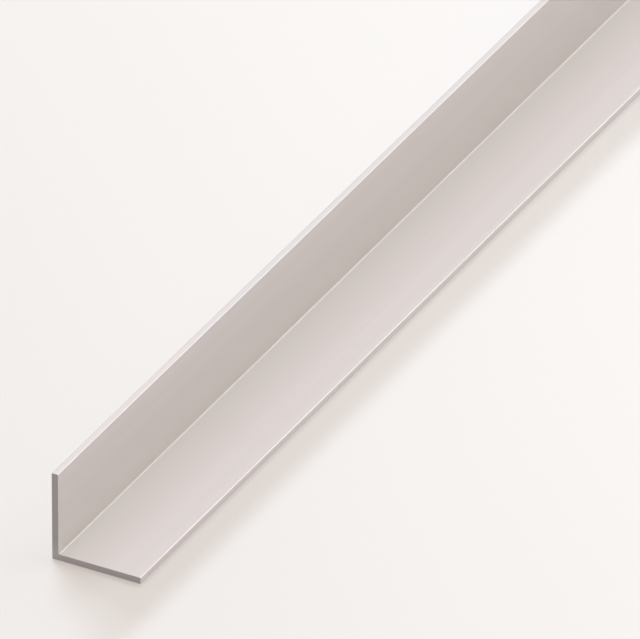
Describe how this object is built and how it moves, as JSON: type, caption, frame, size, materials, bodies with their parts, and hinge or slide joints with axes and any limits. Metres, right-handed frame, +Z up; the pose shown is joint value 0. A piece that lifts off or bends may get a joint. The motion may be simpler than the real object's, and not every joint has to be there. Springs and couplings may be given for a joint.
{
  "type": "metal angle section",
  "caption": "Equal-leg aluminium angle, a straight length of extruded L-section stock sawn square at both ends.",
  "frame": {"origin": "on the floor under the part, at the middle of its width and of its length", "axes": "+Z up, +Y along the length, +X from the heel towards the toe of the flat leg; the upright leg stands at -X"},
  "size_m": [0.04, 1, 0.04],
  "materials": {
    "mill_aluminium": "satin, plain mill finish with fine die lines along the length and a fine saw cut on the ends"
  },
  "bodies": {
    "root": {"angle_section": "mill_aluminium"}
  },
  "joints": []
}
